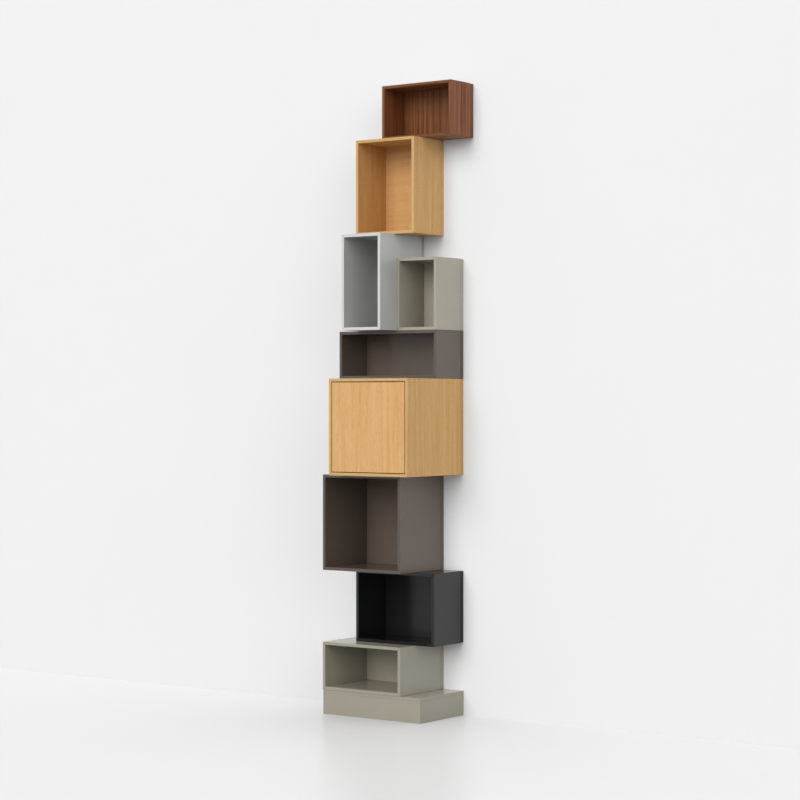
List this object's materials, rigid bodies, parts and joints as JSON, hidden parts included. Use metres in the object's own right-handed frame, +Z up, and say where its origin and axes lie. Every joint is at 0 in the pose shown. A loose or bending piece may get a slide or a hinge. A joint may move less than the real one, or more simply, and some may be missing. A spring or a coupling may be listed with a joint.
{
  "type": "shelving system",
  "caption": "Free-standing tower of stacked open storage boxes in wood and lacquer on a low plinth, with an inset pivot-hung door closing the middle box.",
  "frame": {"origin": "on the floor, in the middle of the plan's bounding box", "axes": "+Z up, +Y towards the wall that the backs lie against, +X to the right as seen from the front"},
  "size_m": [0.5498, 0.402, 2.6287],
  "materials": {
    "stone_lacquer": "satin lacquer, stone grey, on fibreboard",
    "black_lacquer": "satin lacquer, black, on fibreboard",
    "taupe_lacquer": "satin lacquer, taupe, on fibreboard",
    "light_grey_lacquer": "satin lacquer, light grey, on fibreboard",
    "oak_veneer": "oiled oak veneer, straight grain",
    "walnut_veneer": "oiled walnut veneer, straight grain",
    "steel": "plain turned steel",
    "grey_plastic": "moulded, matt"
  },
  "bodies": {
    "boxes": {"plinth_front_board": "stone_lacquer", "plinth_right_board": "stone_lacquer", "plinth_back_board": "stone_lacquer", "plinth_left_board": "stone_lacquer", "plinth_top_board": "stone_lacquer", "base_box_bottom_panel": "stone_lacquer", "base_box_left_side": "stone_lacquer", "base_box_top_panel": "stone_lacquer", "base_box_right_side": "stone_lacquer", "base_box_back_board": "stone_lacquer", "black_box_bottom_panel": "black_lacquer", "black_box_left_side": "black_lacquer", "black_box_top_panel": "black_lacquer", "black_box_right_side": "black_lacquer", "black_box_back_board": "black_lacquer", "taupe_box_bottom_panel": "taupe_lacquer", "taupe_box_left_side": "taupe_lacquer", "taupe_box_top_panel": "taupe_lacquer", "taupe_box_right_side": "taupe_lacquer", "taupe_box_back_board": "taupe_lacquer", "cabinet_bottom_panel": "oak_veneer", "cabinet_left_side": "oak_veneer", "cabinet_top_panel": "oak_veneer", "cabinet_right_side": "oak_veneer", "cabinet_back_board": "oak_veneer", "door_lower_bush": "steel", "door_upper_bush": "steel", "latch_housing": "grey_plastic", "wide_box_bottom_panel": "taupe_lacquer", "wide_box_left_side": "taupe_lacquer", "wide_box_top_panel": "taupe_lacquer", "wide_box_right_side": "taupe_lacquer", "wide_box_back_board": "taupe_lacquer", "tall_box_bottom_panel": "light_grey_lacquer", "tall_box_left_side": "light_grey_lacquer", "tall_box_top_panel": "light_grey_lacquer", "tall_box_right_side": "light_grey_lacquer", "tall_box_back_board": "light_grey_lacquer", "small_box_bottom_panel": "stone_lacquer", "small_box_left_side": "stone_lacquer", "small_box_top_panel": "stone_lacquer", "small_box_right_side": "stone_lacquer", "small_box_back_board": "stone_lacquer", "oak_box_bottom_panel": "oak_veneer", "oak_box_left_side": "oak_veneer", "oak_box_top_panel": "oak_veneer", "oak_box_right_side": "oak_veneer", "oak_box_back_board": "oak_veneer", "walnut_box_bottom_panel": "walnut_veneer", "walnut_box_left_side": "walnut_veneer", "walnut_box_top_panel": "walnut_veneer", "walnut_box_right_side": "walnut_veneer", "walnut_box_back_board": "walnut_veneer"},
    "door": {"door_panel": "oak_veneer", "door_lower_pivot_pin": "steel", "door_upper_pivot_pin": "steel"},
    "plunger": {"latch_plunger": "grey_plastic"}
  },
  "joints": [
    {"name": "door_hinge", "type": "hinge", "parent": "boxes", "child": "door", "pos_m": [-0.14285, -0.193, 1.203], "axis": [0, 0, -1], "range_deg": [0, 110]},
    {"name": "latch_press", "type": "slide", "parent": "boxes", "child": "plunger", "axis": [0, 1, 0], "range_m": [0, 0.003], "stiffness_N_per_m": 300, "springref_m": -0.004}
  ]
}
